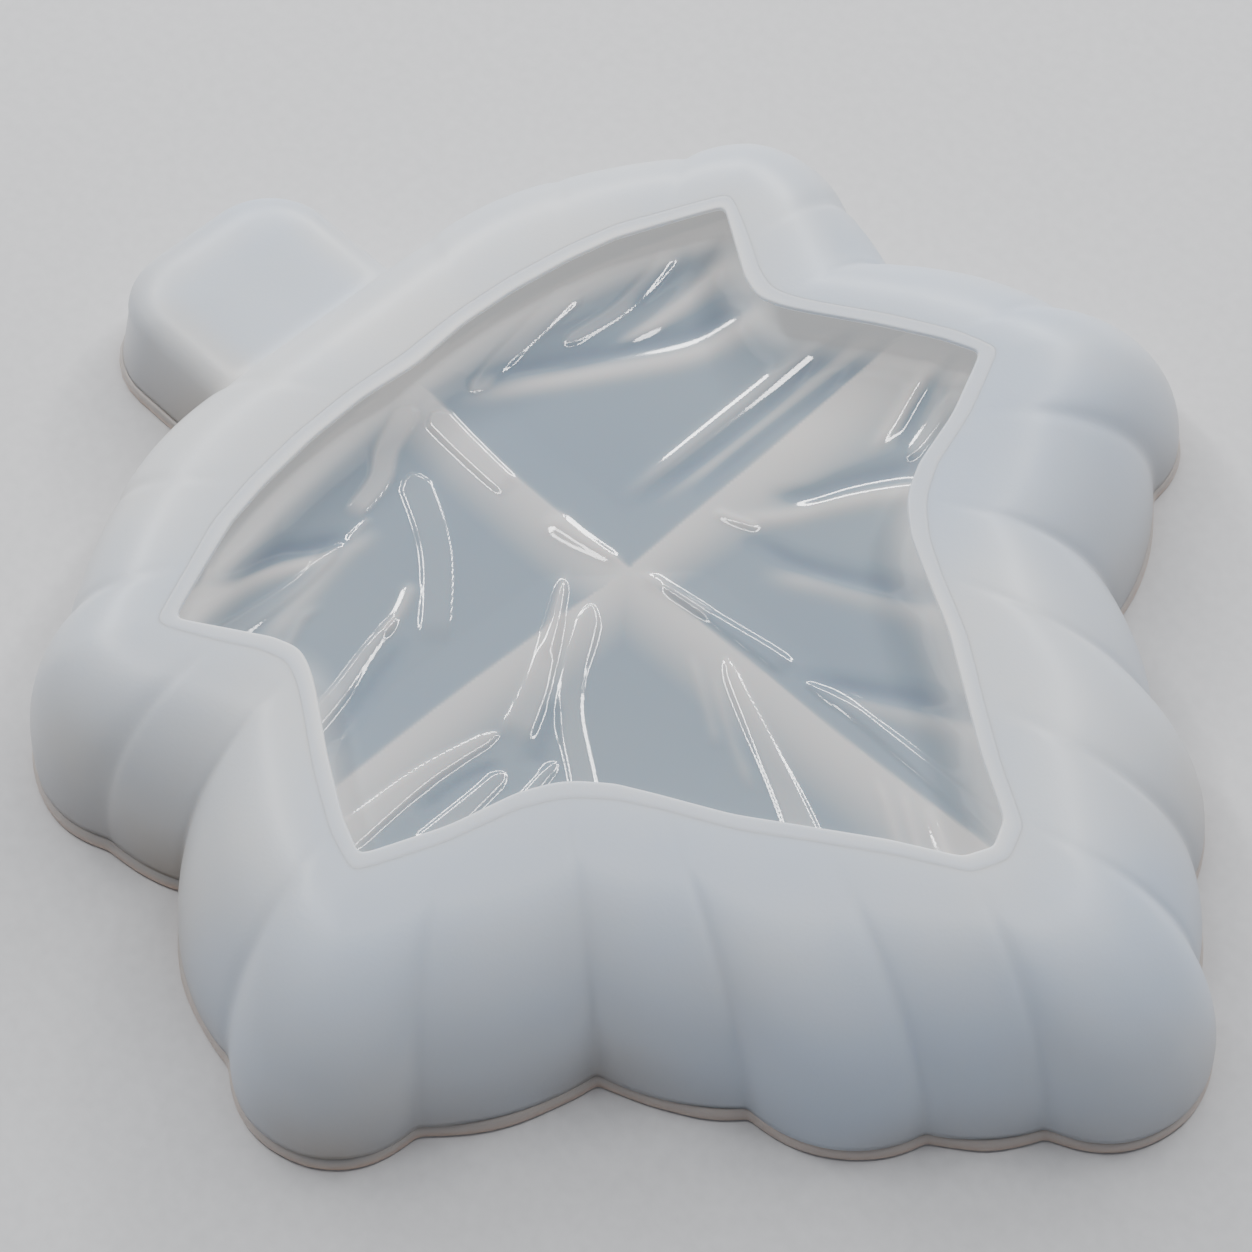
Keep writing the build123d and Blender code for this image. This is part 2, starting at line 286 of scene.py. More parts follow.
FOOT, MOUTH, SQUARE = fine_outline()
TO_CREASE = np.abs((np.arange(len(FOOT)) + SPAN_SAMPLES) % (2 * SPAN_SAMPLES) - SPAN_SAMPLES)
CREASE = np.exp(-(((SPAN_SAMPLES - TO_CREASE) / CREASE_WIDTH) ** 2))
INWARD = MOUTH - FOOT
REACH = np.linalg.norm(INWARD, axis=1)
INWARD = INWARD / REACH[:, None]
COLUMNS = len(FOOT)


def ring(distance, level):
    """A closed loop of points this far in from the foot, at this height."""
    level = np.broadcast_to(level, COLUMNS)
    return np.column_stack([FOOT + INWARD * np.reshape(distance, (-1, 1)), level])


def wall_profile(t, square):
    """How far in and up a wall has come at t, as shares. It starts upright at the foot and ends level."""
    run = 3 * (1 - t) * t**2 * (1 - square) + t**3
    rise = 3 * (1 - t) ** 2 * t * square + 3 * (1 - t) * t**2 + t**3
    return run, rise


def wall_rows(inset, margin, top, rows, groove=0.0):
    """Loops of a wall's surface from the flange, moved in by inset, up to margin outside the mouth."""
    width = REACH - margin - inset
    loops = []
    for t in np.linspace(0, 1, rows):
        run, rise = wall_profile(t, SQUARE)
        # A crease starts a little deep at the foot, is deepest halfway up and ends flush at the mouth.
        sink = groove * CREASE * math.sin(math.pi * (0.08 + 0.92 * t))
        level = FLANGE + (top - FLANGE) * rise - 0.7 * sink * t
        loops.append(ring(inset + sink + width * run, level))
    return loops


# ---- Mesh building ----

def mesh_object(name, points, faces, tone=None, glow=None):
    """A smooth mesh from points in millimetres, with an optional paleness and glow at each point."""
    mesh = bpy.data.meshes.new(name)
    mesh.from_pydata([tuple(p) for p in np.asarray(points) * MM], [], faces)
    mesh.validate()
    for attribute, values in (("tone", tone), ("glow", glow)):
        if values is not None:
            layer = mesh.attributes.new(attribute, "FLOAT", "POINT")
            layer.data.foreach_set("value", np.asarray(values, np.float32))
    mesh.polygons.foreach_set("use_smooth", np.ones(len(mesh.polygons), bool))
    mesh.update()
    piece = bpy.data.objects.new(name, mesh)
    bpy.context.scene.collection.objects.link(piece)
    return piece


def ring_piece(name, loops, tone=None, glow=None):
    """A closed tube of a piece whose section is these loops, one after another."""
    faces = []
    for row in range(len(loops)):
        low, high = row * COLUMNS, (row + 1) % len(loops) * COLUMNS
        for column in range(COLUMNS):
            beside = (column + 1) % COLUMNS
            faces.append((low + column, low + beside, high + beside, high + column))
    return mesh_object(name, np.concatenate(loops), faces, tone, glow)


def set_piece(piece, material, slot, *nodes):
    """Gives a piece its material and fixes it to the mould's one body in place of its CAD nodes."""
    piece.data.materials.append(material)
    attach(piece, "root")
    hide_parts(*nodes)


# ---- Materials ----

def principled(name, **values):
    """A material with a Principled shader, and its node tree."""
    material = bpy.data.materials.new(name)
    material.use_nodes = True
    shader = material.node_tree.nodes["Principled BSDF"]
    for socket, value in values.items():
        shader.inputs[socket.replace("_", " ")].default_value = value
    return material, material.node_tree, shader


def node(tree, kind, **settings):
    """A new node with these settings."""
    made = tree.nodes.new(kind)
    for key, value in settings.items():
        setattr(made, key, value)
    return made


def noise(tree, scale, detail=2.0):
    """Noise in the object's own coordinates."""
    place = node(tree, "ShaderNodeTexCoord")
    made = node(tree, "ShaderNodeTexNoise")
    made.inputs["Scale"].default_value = scale
    made.inputs["Detail"].default_value = detail
    tree.links.new(place.outputs["Object"], made.inputs["Vector"])
    return made.outputs["Fac"]


def ramp(tree, value, stops):
    """A colour ramp of (position, colour) stops driven by value."""
    made = node(tree, "ShaderNodeValToRGB")
    elements = made.color_ramp.elements
    while len(elements) < len(stops):
        elements.new(0.5)
    for element, (position, colour) in zip(elements, stops):
        element.position = position
        element.color = (*colour, 1.0)
    tree.links.new(value, made.inputs["Fac"])
    return made.outputs["Color"]


def mix(tree, factor, first, second, blend="MIX"):
    """A mix of two colours, by a socket or a number."""
    made = node(tree, "ShaderNodeMix", data_type="RGBA", blend_type=blend)
    for socket, value in ((made.inputs[0], factor), (made.inputs[6], first), (made.inputs[7], second)):
        if hasattr(value, "is_output"):
            tree.links.new(value, socket)
        else:
            socket.default_value = value
    return made.outputs[2]


def height_share(tree):
    """The height above the table as a share of the mould's height."""
    place = node(tree, "ShaderNodeTexCoord")
    split = node(tree, "ShaderNodeSeparateXYZ")
    scale = node(tree, "ShaderNodeMath", operation="DIVIDE")
    scale.inputs[1].default_value = HEIGHT * MM
    tree.links.new(place.outputs["Object"], split.inputs[0])
    tree.links.new(split.outputs["Z"], scale.inputs[0])
    return scale.outputs[0]


def bump(tree, shader, height, distance):
    """Adds fine relief to a shader."""
    made = node(tree, "ShaderNodeBump")
    made.inputs["Strength"].default_value = 0.5
    made.inputs["Distance"].default_value = distance
    tree.links.new(height, made.inputs["Height"])
    tree.links.new(made.outputs["Normal"], shader.inputs["Normal"])


def paint_light_through(tree, shader):
    """Paints light as a glow on the silicone where light comes through the skirt and the lip from outside."""
    # The emission is painted light: a glow where light would come through the translucent silicone.
    shader.inputs["Emission Color"].default_value = (0.95, 0.93, 0.90, 1.0)
    through = node(tree, "ShaderNodeAttribute", attribute_name="glow").outputs["Fac"]
    tree.links.new(through, shader.inputs["Emission Strength"])


def satin_silicone(name, low, high, cloud, levels=(0.0, 0.5, 0.9)):
    """Milky silicone with a satin skin. Its colour goes from low to high between the levels, with clouds."""
    material, tree, shader = principled(
        name, IOR=1.41, Subsurface_Weight=0.5, Subsurface_Scale=0.0015, Coat_Weight=0.12, Coat_Roughness=0.22
    )
    shader.inputs["Subsurface Radius"].default_value = (0.8, 0.95, 1.15)
    middle = tuple(0.35 * a + 0.65 * b for a, b in zip(low, high))
    body = ramp(tree, height_share(tree), list(zip(levels, (low, middle, high))))
    clouds = ramp(tree, noise(tree, 16.0), [(0.35, (0.0, 0.0, 0.0)), (0.7, (1.0, 1.0, 1.0))])
    tint = node(tree, "ShaderNodeAttribute", attribute_name="tone").outputs["Fac"]
    body = mix(tree, clouds, body, (*cloud, 1.0))
    tree.links.new(mix(tree, tint, body, (*cloud, 1.0)), shader.inputs["Base Color"])
    rough = ramp(tree, noise(tree, 60.0, 4.0), [(0.3, (0.33,) * 3), (0.7, (0.42,) * 3)])
    tree.links.new(rough, shader.inputs["Roughness"])
    bump(tree, shader, noise(tree, 1400.0), 0.00004)
    paint_light_through(tree, shader)
    return material


def gloss_silicone(name):
    """Glossy silicone of the leaf face, with light and shade painted after the veins and wrinkles: darker in
    valleys, paler on slopes and crests.
    """
    material, tree, shader = principled(
        name, Roughness=0.1, IOR=1.41, Subsurface_Weight=0.15, Subsurface_Scale=0.004, Coat_Weight=1.0,
        Coat_Roughness=0.03, Coat_IOR=1.55,
    )
    tone = node(tree, "ShaderNodeAttribute", attribute_name="tone").outputs["Fac"]
    shift = node(tree, "ShaderNodeMapRange")
    shift.inputs["From Min"].default_value = -1.0
    tree.links.new(tone, shift.inputs["Value"])
    # Painted shade in the valleys' colour, painted light in the slopes' and crests' colours.
    valley_shade, flat = (0.19, 0.235, 0.30), (0.25, 0.31, 0.365)
    slope_light, crest_light = (0.49, 0.505, 0.515), (0.63, 0.62, 0.61)
    body = ramp(tree, shift.outputs[0], [(0.0, valley_shade), (0.5, flat), (0.8, slope_light), (1.0, crest_light)])
    paint_light_through(tree, shader)
    clouds = ramp(tree, noise(tree, 20.0), [(0.3, (0.93, 0.95, 0.99)), (0.7, (1.04, 1.02, 1.0))])
    tree.links.new(mix(tree, 1.0, body, clouds, "MULTIPLY"), shader.inputs["Base Color"])
    bump(tree, shader, noise(tree, 300.0), 0.00001)
    return material


# ---- Pieces ----

def make_skirt(material):
    """Pleated outer wall from the flange to the lip, with its inner side."""
    top = HEIGHT - LIP_STEP
    outer = wall_rows(0, LIP_WIDTH, top, WALL_ROWS, CREASE_GROOVE)
    outer.insert(-1, ring(REACH - LIP_WIDTH - CORNER, top))
    outer.append(ring(REACH - LIP_WIDTH, top - CORNER))
    inner = wall_rows(WALL, LIP_WIDTH, HEIGHT - WALL, WALL_ROWS // 2)
    piece = ring_piece("skirt", outer + inner[::-1])
    set_piece(piece, material, "satin_silicone", *[f"{lobe}_wall" for lobe in LOBES])


def make_lip(material):
    """Flat band round the mouth with a soft step outside, which thins to a rounded edge."""
    bead = LIP_EDGE / 2
    start = REACH - LIP_WIDTH
    foot = HEIGHT - LIP_STEP
    loops = [ring(start, HEIGHT - WALL), ring(start, foot - CORNER), ring(start, foot)]
    for t in np.linspace(0, 1, 6):
        loops.append(ring(start + CORNER / 2 + LIP_RISE * t, foot + LIP_STEP * fade_cosine(t)))
    for t in np.linspace(0.1, 1, 6):
        loops.append(ring(start + LIP_RISE + (LIP_WIDTH - LIP_RISE - bead) * t, HEIGHT))
    for angle in np.linspace(0.12, 1, 10) * math.pi:
        loops.append(ring(REACH - bead + bead * math.sin(angle), HEIGHT - bead + bead * math.cos(angle)))
    for t in np.linspace(0.15, 0.85, 6):
        drop = (WALL - LIP_EDGE) * fade_cosine(t)
        loops.append(ring(REACH - bead - (LIP_WIDTH - bead) * t, HEIGHT - LIP_EDGE - drop))
    blend, glow = [], []
    for loop in loops:
        inward = np.linalg.norm(loop[:, :2] - FOOT, axis=1) - start
        blend.append(1 - fade(inward / LIP_WIDTH))
        # Painted light: the lip's thin inner face glows.
        glow.append(LIP_PAINTED_GLOW * fade((HEIGHT - loop[:, 2]) / LIP_EDGE) * (inward > LIP_WIDTH / 2))
    piece = ring_piece("pour_lip_band", loops, np.concatenate(blend), np.concatenate(glow))
    set_piece(piece, material, "lip_silicone", "pour_lip")


def stem_corner(inset):
    """Half width, end and corner radius of the stem's plan, moved in by inset."""
    half = STEM_HALF_WIDTH - inset
    return half, STEM_END + inset, min(STEM_CORNER - STEM_CORNER_LOSS * inset, 0.98 * half)


def stem_plan(inset, columns):
    """The stem's U-shaped plan, moved in by inset, from its root on the right side round to the left."""
    half, end, corner = stem_corner(inset)
    turn = np.linspace(0, math.pi / 2, columns // 4)
    bend = [end + corner, corner - half] - corner * np.column_stack([np.sin(turn), np.cos(turn)])
    away = np.linspace(0, 1, columns // 3)[:-1] ** 1.6
    run_in = np.column_stack([STEM_ROOT + (end + corner - STEM_ROOT) * away, np.full(len(away), -half)])
    across = np.linspace(-half + corner, half - corner, columns // 6)[1:-1]
    front = np.column_stack([np.full(len(across), end), across])
    path = np.concatenate([run_in, bend, front, bend[::-1] * [1, -1], run_in[::-1] * [1, -1]])
    return path + [0, STEM_CENTRE]


def wall_x(y, z):
    """How far out the stem side of the skirt stands at these widths and this height."""
    side = np.where((FOOT[:, 0] < STEM_SIDE_X) & (np.abs(FOOT[:, 1]) < STEM_SIDE_REACH))[0]
    side = side[np.argsort(FOOT[side, 1])]
    run, rise = wall_profile(np.linspace(0, 1, 80), SQUARE[side][:, None])
    run = (REACH[side] - LIP_WIDTH)[:, None] * run
    level = FLANGE + (HEIGHT - FLANGE) * rise
    xs = FOOT[side][:, :1] + INWARD[side][:, :1] * run
    ys = FOOT[side][:, 1:] + INWARD[side][:, 1:] * run
    level_x = np.array([np.interp(z, level[i], xs[i]) for i in range(len(side))])
    level_y = np.array([np.interp(z, level[i], ys[i]) for i in range(len(side))])
    return np.interp(y, level_y, level_x)


def make_stem(material):
    """Rounded box over the stem, which flows into the skirt with a small fillet."""
    shoulder = STEM_HEIGHT - STEM_EDGE
    lean = (shoulder - FLANGE) * math.tan(math.radians(STEM_TAPER))
    stack = [(lean * t, FLANGE + (shoulder - FLANGE) * t) for t in np.linspace(0, 1, 16)]
    for share in np.concatenate([np.linspace(0.004, 0.1, 10), np.linspace(0.13, 0.98, 22)]):
        pillow = (1 - (1 - share) ** STEM_PILLOW) ** (1 / STEM_PILLOW)
        stack.append((lean + (STEM_HALF_WIDTH - lean) * share, shoulder + STEM_EDGE * pillow))
    rows = []
    for inset, level in stack:
        plan = stem_plan(inset, 120)
        wall = wall_x(plan[:, 1], level)
        # The straight sides stretch to end inside the wall, and the corners stay as they are.
        _, end, corner = stem_corner(inset)
        share = np.clip((plan[:, 0] - end - corner) / (STEM_ROOT - end - corner), 0, 1)
        x = plan[:, 0] + share * (wall + STEM_BURIED - STEM_ROOT)
        flare = STEM_FLARE * STEM_FILLET * np.clip(1 - (wall - x) / STEM_FILLET, 0, 1) ** 2
        y = plan[:, 1] + np.sign(plan[:, 1] - STEM_CENTRE) * flare * (inset < lean + 3)
        rows.append(np.column_stack([x, y, level + flare * (inset > lean)]))
    width = len(rows[0])
    faces = []
    for row in range(len(rows) - 1):
        for column in range(width - 1):
            low = row * width + column
            faces.append((low, low + width, low + width + 1, low + 1))
    last = (len(rows) - 1) * width
    for column in range(width // 2 - 1):
        other = width - 1 - column
        faces.append((last + column, last + other, last + other - 1, last + column + 1))
    points = np.concatenate(rows)
    middle, half_width = STEM_CAVITY
    cavity = 1 - np.abs(points[:, :2] - (middle, STEM_CENTRE)) / half_width
    blue = 0.6 * fade(cavity.min(axis=1) * 2.5) * (points[:, 2] > shoulder + 4)
    piece = mesh_object("stem_pocket_box", points, faces, blue)
    thick = piece.modifiers.new("skin", "SOLIDIFY")
    thick.thickness = WALL * MM
    thick.offset = -1
    set_piece(piece, material, "satin_silicone", "stem_pocket")


def make_flange(material):
    """Foot flange with a slightly ragged trimmed edge, and the web that closes the resin space."""
    rng = np.random.default_rng(7)
    ragged = soften(rng.normal(0, 1, (COLUMNS, 2)), TRIM_WAVE)
    ragged = ragged / ragged.std(axis=0)
    outer = FOOT - INWARD * (FLANGE_PROUD - TRIM_SPARE + TRIM_RAGGEDNESS * ragged[:, :1])
    # The columns that start under the stem's pocket are spread along the pocket's plan outside the skirt.
    stem = stem_plan(-FLANGE_PROUD, 96)
    stem = stem[stem[:, 0] < -89.0]
    at_stem = (FOOT[:, 0] < -80) & (np.abs(FOOT[:, 1] - STEM_CENTRE) < STEM_HALF_WIDTH + FLANGE_PROUD)
    order = np.where(at_stem)[0]
    order = order[np.argsort(-FOOT[order, 1])]
    along = lengths(stem)
    share = np.linspace(along[-1], 0, len(order))
    outer[order] = np.column_stack([np.interp(share, along, stem[:, k]) for k in (0, 1)])
    inner = FOOT + INWARD * HOLLOW_INSET
    out = outer - (outer + inner) / 2
    out = out / np.linalg.norm(out, axis=1)[:, None]

    def loop(path, inward, level):
        return np.column_stack([path - out * inward, np.full(COLUMNS, level)])

    top = FLANGE - 0.02
    loops = [loop(inner, 0, 0.0)]
    loops += [loop(outer, inward, level) for inward, level in FOOT_SECTION]
    loops += [loop(outer, inward, top) for inward in FOOT_SHOULDER]
    loops.append(loop(inner, 0, top))
    piece = ring_piece("foot_edge", loops)
    set_piece(piece, material, "flange_silicone", "foot_flange")


def lengths(line):
    """The length of the way along a line to each of its points."""
    return np.concatenate([[0], np.cumsum(np.linalg.norm(np.diff(line, axis=0), axis=1))])


def smooth_line(points):
    """A Catmull-Rom curve through the points."""
    points = np.array(points, float)
    padded = np.concatenate([[2 * points[0] - points[1]], points, [2 * points[-1] - points[-2]]])
    line = []
    for a, b, c, d in zip(padded, padded[1:], padded[2:], padded[3:]):
        square, cube = 2 * a - 5 * b + 4 * c - d, 3 * b - a - 3 * c + d
        for t in np.arange(LINE_SAMPLES) / LINE_SAMPLES:
            line.append(b + ((c - a) * t + square * t**2 + cube * t**3) / 2)
    return np.array(line + [points[-1]])


def nearest(points, line):
    """Signed distance to a line (above 0 to its left) and the share of the way along it."""
    start, step = line[:-1], np.diff(line, axis=0)
    length2 = (step**2).sum(1)
    offset = points[:, None] - start[None]
    t = np.clip((offset * step).sum(-1) / length2, 0, 1)
    gap = offset - t[..., None] * step
    distance = np.linalg.norm(gap, axis=-1)
    best = distance.argmin(1)
    pick = np.arange(len(points))
    side = step[best, 0] * gap[pick, best, 1] - step[best, 1] * gap[pick, best, 0]
    travelled = np.concatenate([[0], np.cumsum(np.sqrt(length2))])
    share = (travelled[best] + t[pick, best] * np.sqrt(length2[best])) / travelled[-1]
    return np.where(side >= 0, 1, -1) * distance[pick, best], share


def face_relief(points):
    """Height and tone of the leaf face at these points in plan; the tone is painted light on crests, soft
    slopes and folds, and painted shade in valleys.
    """
    height = np.zeros(len(points))
    tone = np.zeros(len(points))
    for line, rise, crisp, soft_in, soft_out in VEINS:
        line = smooth_line(line)
        near = close_to(points, line, soft_out + 1)
        distance, share = nearest(points[near], line)
        on_crisp = distance > 0.05
        steep = np.clip(1 - distance / crisp, 0, 1) ** 1.2
        soft = soft_in + (soft_out - soft_in) * share
        gentle = 1 - fade_cosine(np.clip(-distance / soft, 0, 1))
        height[near] = np.maximum(height[near], rise * np.where(on_crisp, steep, gentle))
        # Painted light on a vein's crest and soft slope.
        pale = np.where(on_crisp, np.exp(-distance / CREST_PAINTED_LIGHT), gentle**0.7)
        tone[near] = np.maximum(tone[near], VEIN_PAINTED_LIGHT * pale)
    for line, width_in, width_out, steepness, pale in FOLDS:
        line = smooth_line(line)
        near = close_to(points, line, 3 * max(width_in, width_out))
        distance, share = nearest(points[near], line)
        width = width_in + (width_out - width_in) * share
        bell = np.exp(-(np.clip(np.abs(distance) / width, 0, 3) ** 2))
        bell = bell * fade(share / FOLD_START) * fade((1 - share) / FOLD_END)
        height[near] += steepness * width / BELL_SLOPE * bell
        # Painted light on a ridge, painted shade in a valley.
        tone[near] += pale * bell * (1 - 0.5 * np.clip(tone[near], 0, 1))
    for line, width_in, width_out, pale in LOOPS:
        line = smooth_line(line)
        near = close_to(points, line, LOOP_FLANK + max(width_in, width_out))
        distance, share = nearest(points[near], line)
        width = (width_in + (width_out - width_in) * share) * np.clip(share / LOOP_START, 0, 1) ** 0.5
        back = fade((width - np.abs(distance)) / LOOP_FLANK + 0.5) * fade((1 - share) / LOOP_END)
        height[near] += LOOP_HEIGHT * back
        # Painted light on a loop's back, painted shade where its paleness is below 0.
        tone[near] += pale * back * (1 - 0.5 * np.clip(tone[near], 0, 1))
    return height, np.clip(tone, -1, 1)


def fade(value):
    """A smooth step from 0 to 1."""
    value = np.clip(value, 0, 1)
    return value * value * (3 - 2 * value)


def fade_cosine(share):
    """Half a wave from 0 at share 0 to 1 at share 1."""
    return 0.5 - 0.5 * np.cos(np.pi * share)


def close_to(points, line, reach):
    """Indices of the points inside a line's box, widened by reach."""
    inside = (points > line.min(axis=0) - reach) & (points < line.max(axis=0) + reach)
    return np.where(inside.all(axis=1))[0]


def triangulate(edge, pitch, lines=()):
    """Triangles of an even spacing inside an edge, with mesh edges along these lines."""
    fixed, count = [edge], len(edge)
    links = [(i, (i + 1) % count) for i in range(count)]
    for line in lines:
        along = lengths(line)
        at = np.linspace(0, along[-1], int(along[-1] / pitch))
        line = np.column_stack([np.interp(at, along, line[:, k]) for k in (0, 1)])
        line = line[inside_edge(line, edge) & (nearest(line, closed(edge))[0] < -pitch)]
        fixed.append(line)
        links += [(count + i, count + i + 1) for i in range(len(line) - 1)]
        count += len(line)
    low, high = edge.min(axis=0), edge.max(axis=0)
    x, y = np.meshgrid(np.arange(low[0], high[0], pitch), np.arange(low[1], high[1], pitch * 0.866))
    x = x + pitch / 2 * (np.arange(len(x)) % 2)[:, None]
    filling = np.column_stack([x.ravel(), y.ravel()])
    filling = filling[inside_edge(filling, edge)]
    for line in fixed:
        gap = np.full(len(filling), pitch)
        for start in range(0, len(line), CHUNK):
            part = line[start : start + CHUNK]
            near = close_to(filling, part, pitch)
            offset = filling[near][:, None] - part[None]
            gap[near] = np.minimum(gap[near], np.linalg.norm(offset, axis=-1).min(axis=1))
        filling = filling[gap > 0.6 * pitch]
    points = [Vector(p) for p in np.concatenate(fixed + [filling])]
    corners, _, faces, _, _, _ = delaunay_2d_cdt(points, links, [], 1, 1e-5)
    return np.array([tuple(p) for p in corners]), faces


def closed(line):
    """A line that comes back to its start."""
    return np.concatenate([line, line[:1]])


def inside_edge(points, edge):
    """Which points lie inside a closed edge."""
    inside = np.zeros(len(points), bool)
    for (ax, ay), (bx, by) in zip(edge, np.roll(edge, -1, axis=0)):
        if ay != by:
            crosses = (ay > points[:, 1]) != (by > points[:, 1])
            inside ^= crosses & (points[:, 0] < (bx - ax) * (points[:, 1] - ay) / (by - ay) + ax)
    return inside


def core_rows():
    """Loops of the core's outer side and of its hollow, from the flange up to the leaf face."""
    outer = wall_rows(CORE_INSET, FACE_MARGIN, FACE_LEVEL, WALL_ROWS)
    inner = wall_rows(HOLLOW_INSET, FACE_MARGIN, FACE_LEVEL - CORE_SKIN, WALL_ROWS)
    return outer, inner


def make_leaf_face(material):
    """Leaf-shaped top of the core with its veins and wrinkles, its turned edge and its underside."""
    outer, inner = core_rows()
    edge = outer[-1][:, :2]
    plan, faces = triangulate(edge, FACE_PITCH, [smooth_line(vein[0]) for vein in VEINS])
    height, tone = face_relief(plan)
    inside = edge_distance(plan, closed(edge), 8.0)
    points = [np.column_stack([plan, FACE_LEVEL + height])]
    # Near its edge the face is painted paler and glows: painted light in the shade under the lip.
    tones = [np.clip(tone + EDGE_PAINTED_LIGHT * np.exp(-inside / EDGE_PAINTED_LIGHT_REACH), -1, 1)]
    glows = [UNDER_LIP_PAINTED_GLOW * np.exp(-((inside / UNDER_LIP_REACH) ** 2))]
    turned = outer[-2 : -2 - FACE_TURN : -1]
    for row, loop in enumerate(turned):
        relief, pale = face_relief(loop[:, :2])
        stay = 1 - fade_cosine(min(1, (row + 1) / (FACE_TURN - 1)))
        points.append(loop + np.column_stack([np.zeros((COLUMNS, 2)), relief * stay]))
        # The turned edge is painted pale and glows: painted light in the shade under the lip.
        tones.append(np.clip(pale + EDGE_PAINTED_LIGHT, -1, 1) * stay + SIDE_PAINTED_LIGHT * (1 - stay))
        glows.append(np.full(COLUMNS, UNDER_LIP_PAINTED_GLOW))
    hollow = inner[-1 - FACE_TURN : -1]
    under, under_faces = triangulate(inner[-1][:, :2], UNDERSIDE_PITCH)
    under_level = np.full(len(under), FACE_LEVEL - CORE_SKIN)
    under_level[COLUMNS:] += 0.5 * face_relief(under[COLUMNS:])[0]
    points += hollow + [np.column_stack([under, under_level])]
    hidden = np.zeros(COLUMNS * len(hollow) + len(under))
    faces = list(faces)
    # Each loop is joined to the next: the face's edge, the turned edge, the hollow and the underside's edge.
    starts = [0] + [len(plan) + COLUMNS * row for row in range(len(turned) + len(hollow) + 1)]
    for low, high in zip(starts, starts[1:]):
        for column in range(COLUMNS):
            beside = (column + 1) % COLUMNS
            faces.append((low + beside, low + column, high + column, high + beside))
    faces += [tuple(starts[-1] + i for i in reversed(face)) for face in under_faces]
    tone, glow = np.concatenate(tones + [hidden]), np.concatenate(glows + [hidden])
    piece = mesh_object("leaf_floor", np.concatenate(points), faces, tone, glow)
    set_piece(piece, material, "gloss_silicone", "leaf_face", "leaf_veins")


def edge_distance(points, line, reach):
    """Distance from each point to a long line, or reach where the line is farther."""
    distance = np.full(len(points), reach)
    for start in range(0, len(line) - 1, CHUNK):
        part = line[start : start + CHUNK + 1]
        near = close_to(points, part, reach)
        distance[near] = np.minimum(distance[near], np.abs(nearest(points[near], part)[0]))
    return distance


def make_core_wall(material):
    """Side of the inner core, from the flange up to the leaf face's turned edge."""
    outer, inner = core_rows()
    outer, inner = outer[:-FACE_TURN], inner[:-FACE_TURN][::-1]
    # The core's side is painted pale and its outer side glows: painted light in the shade under the lip.
    glow = np.repeat([UNDER_LIP_PAINTED_GLOW, 0.0], [len(outer) * COLUMNS, len(inner) * COLUMNS])
    piece = ring_piece("core_side", outer + inner, np.full(len(glow), SIDE_PAINTED_LIGHT), glow)
    set_piece(piece, material, "gloss_silicone", *[f"{lobe}_core" for lobe in LOBES])


# ---- Light, floor and camera ----

# Lengths from here on are in metres.
RING_POWER = [1.4, 2.1, 2.9, 3.1, 3.0, 2.9, 3.1, 3.5, 3.2, 2.0]  # of each strip, from the uppermost round
RING_ANGLE = math.radians(33)
RING_DISTANCE = 1.15
RING_WIDTH = 0.1
RING_STEP = 2 * math.pi * RING_DISTANCE * math.sin(RING_ANGLE) / len(RING_POWER)
MIRRORED = (-0.403, 0.390, 0.828)  # where the flat leaf face mirrors the camera's view

CAMERA_PLACE = (0.2243, -0.2228, 0.4784)
CAMERA_AZIMUTH = -0.8016
CAMERA_ELEVATION = 0.9751
CAMERA_ROLL = -0.0033
CAMERA_LENS = 92.0


def pose(place, right, up, back):
    """The matrix of an object at place whose own axes point right, up and back."""
    return Matrix.Translation(place) @ Matrix((right, up, back)).transposed().to_4x4()


def make_floor():
    """A plain pale floor just under the foot."""
    corners = [(-3000, -3000, 0), (3000, -3000, 0), (3000, 3000, 0), (-3000, 3000, 0)]
    floor = mesh_object("floor", corners, [(0, 1, 2, 3)])
    floor.location.z = -0.00005
    paper, tree, shader = principled("paper", Roughness=0.9)
    grain = ramp(tree, noise(tree, 400.0, 3.0), [(0.3, (0.60, 0.60, 0.61)), (0.7, (0.64, 0.64, 0.65))])
    tree.links.new(grain, shader.inputs["Base Color"])
    floor.data.materials.append(paper)


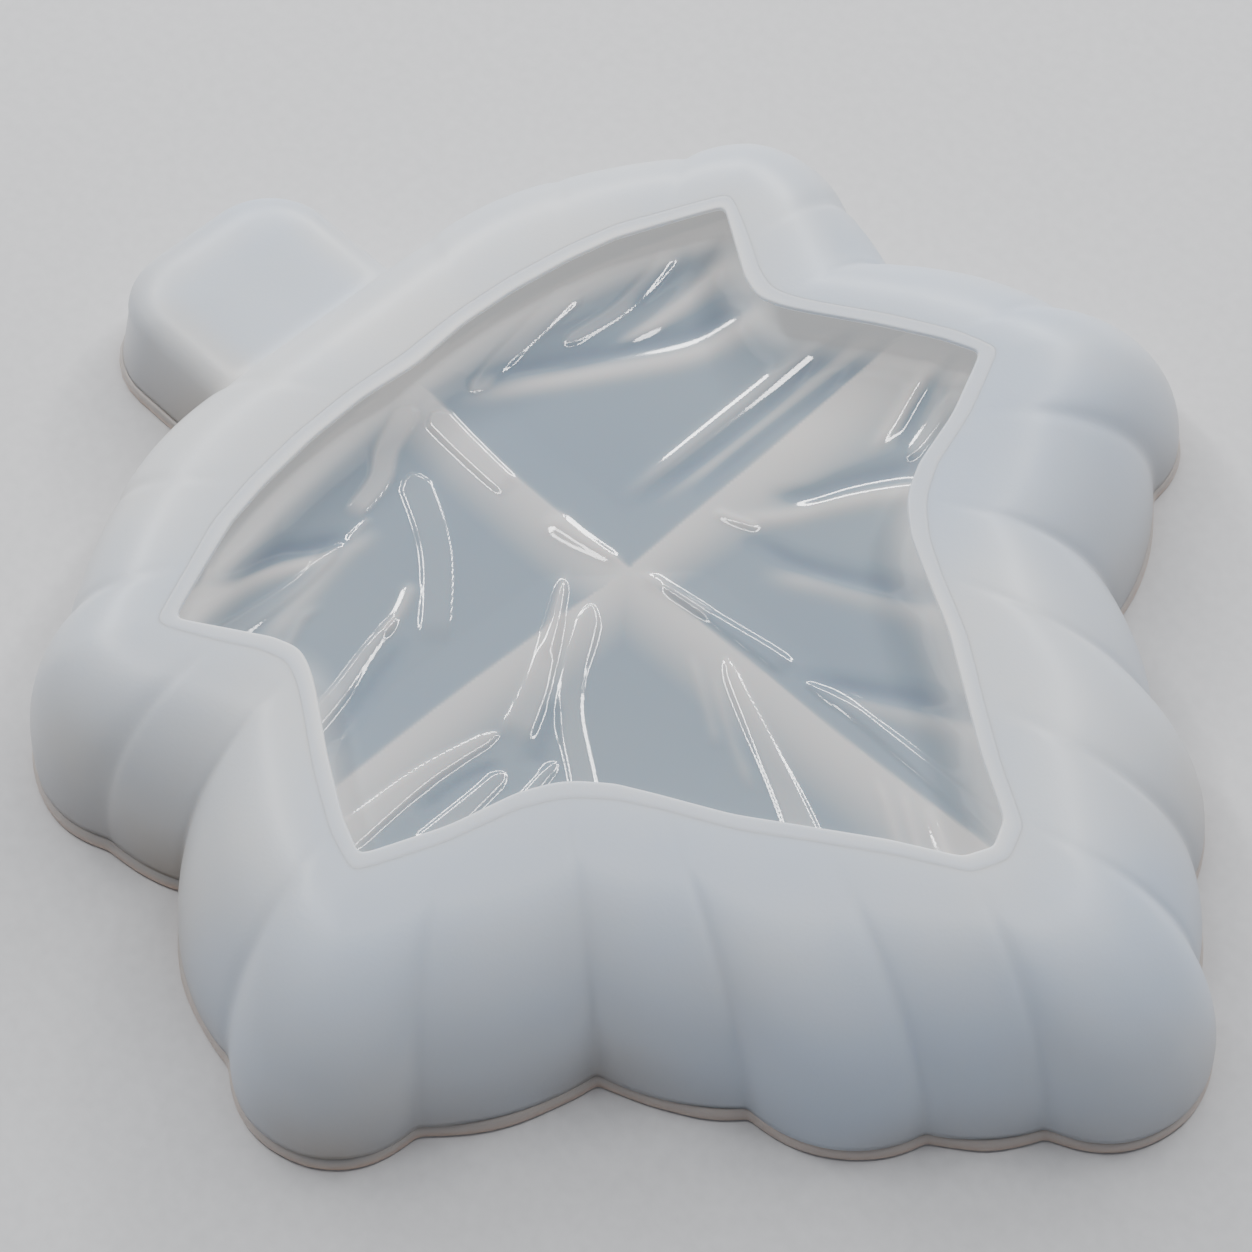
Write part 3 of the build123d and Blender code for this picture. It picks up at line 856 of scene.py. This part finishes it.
def make_lights():
    """A soft sky, and a ring of strips round the mirrored direction, so only the face's folds catch them."""
    world = bpy.data.worlds.new("studio")
    world.use_nodes = True
    sky = world.node_tree.nodes["Background"]
    sky.inputs["Color"].default_value = (0.85, 0.90, 1.0, 1.0)
    sky.inputs["Strength"].default_value = 0.22
    bpy.context.scene.world = world
    mirrored = Vector(MIRRORED).normalized()
    sideways = mirrored.cross(Vector((0, 0, 1))).normalized()
    upward = sideways.cross(mirrored)
    centre = Vector((0, 0, 0.02))
    for step, power in enumerate(RING_POWER):
        turn = 2 * math.pi * step / len(RING_POWER)
        outward = sideways * math.sin(turn) + upward * math.cos(turn)
        place = centre + (mirrored * math.cos(RING_ANGLE) + outward * math.sin(RING_ANGLE)) * RING_DISTANCE
        facing = (centre - place).normalized()
        along = facing.cross(outward).normalized()
        strip = bpy.data.lights.new(f"ring_{step}", "AREA")
        strip.shape = "RECTANGLE"
        strip.size, strip.size_y = RING_STEP * 0.9, RING_WIDTH
        strip.energy = power
        lamp = bpy.data.objects.new(f"ring_{step}", strip)
        lamp.matrix_world = pose(place, along, along.cross(facing), -facing)
        bpy.context.scene.collection.objects.link(lamp)


def make_camera():
    """The camera at the photograph's viewing angle."""
    level = math.cos(CAMERA_ELEVATION)
    forward = Vector((
        math.sin(CAMERA_AZIMUTH) * level, math.cos(CAMERA_AZIMUTH) * level, -math.sin(CAMERA_ELEVATION)
    ))
    right = forward.cross(Vector((0, 0, 1))).normalized()
    up = right.cross(forward)
    cos_roll, sin_roll = math.cos(CAMERA_ROLL), math.sin(CAMERA_ROLL)
    right, up = right * cos_roll + up * sin_roll, up * cos_roll - right * sin_roll
    camera = bpy.data.objects.new("camera", bpy.data.cameras.new("camera"))
    camera.data.sensor_width = 36.0
    camera.data.lens = CAMERA_LENS
    camera.data.clip_start = 0.01
    camera.matrix_world = pose(CAMERA_PLACE, right, up, -forward)
    bpy.context.scene.collection.objects.link(camera)
    bpy.context.scene.camera = camera


make_floor()
make_lights()
make_camera()

# The skirt and stem are darker towards the bottom: the low colour is painted shade near the floor.
outer_skin = satin_silicone(
    "satin_silicone_skin", low=(0.36, 0.315, 0.265), high=(0.68, 0.69, 0.695), cloud=(0.53, 0.60, 0.70)
)
lip_skin = satin_silicone(
    "lip_silicone_skin", low=(0.80, 0.80, 0.79), high=(0.84, 0.84, 0.83), cloud=(0.61, 0.65, 0.71)
)
edge_skin = satin_silicone(
    "trimmed_edge_skin", low=(0.68, 0.52, 0.42), high=(0.44, 0.42, 0.40), cloud=(0.60, 0.52, 0.47),
    levels=(0.02, 0.045, 0.065),
)
leaf_skin = gloss_silicone("gloss_silicone_skin")
make_skirt(outer_skin)
make_lip(lip_skin)
make_stem(outer_skin)
make_flange(edge_skin)
make_leaf_face(leaf_skin)
make_core_wall(leaf_skin)
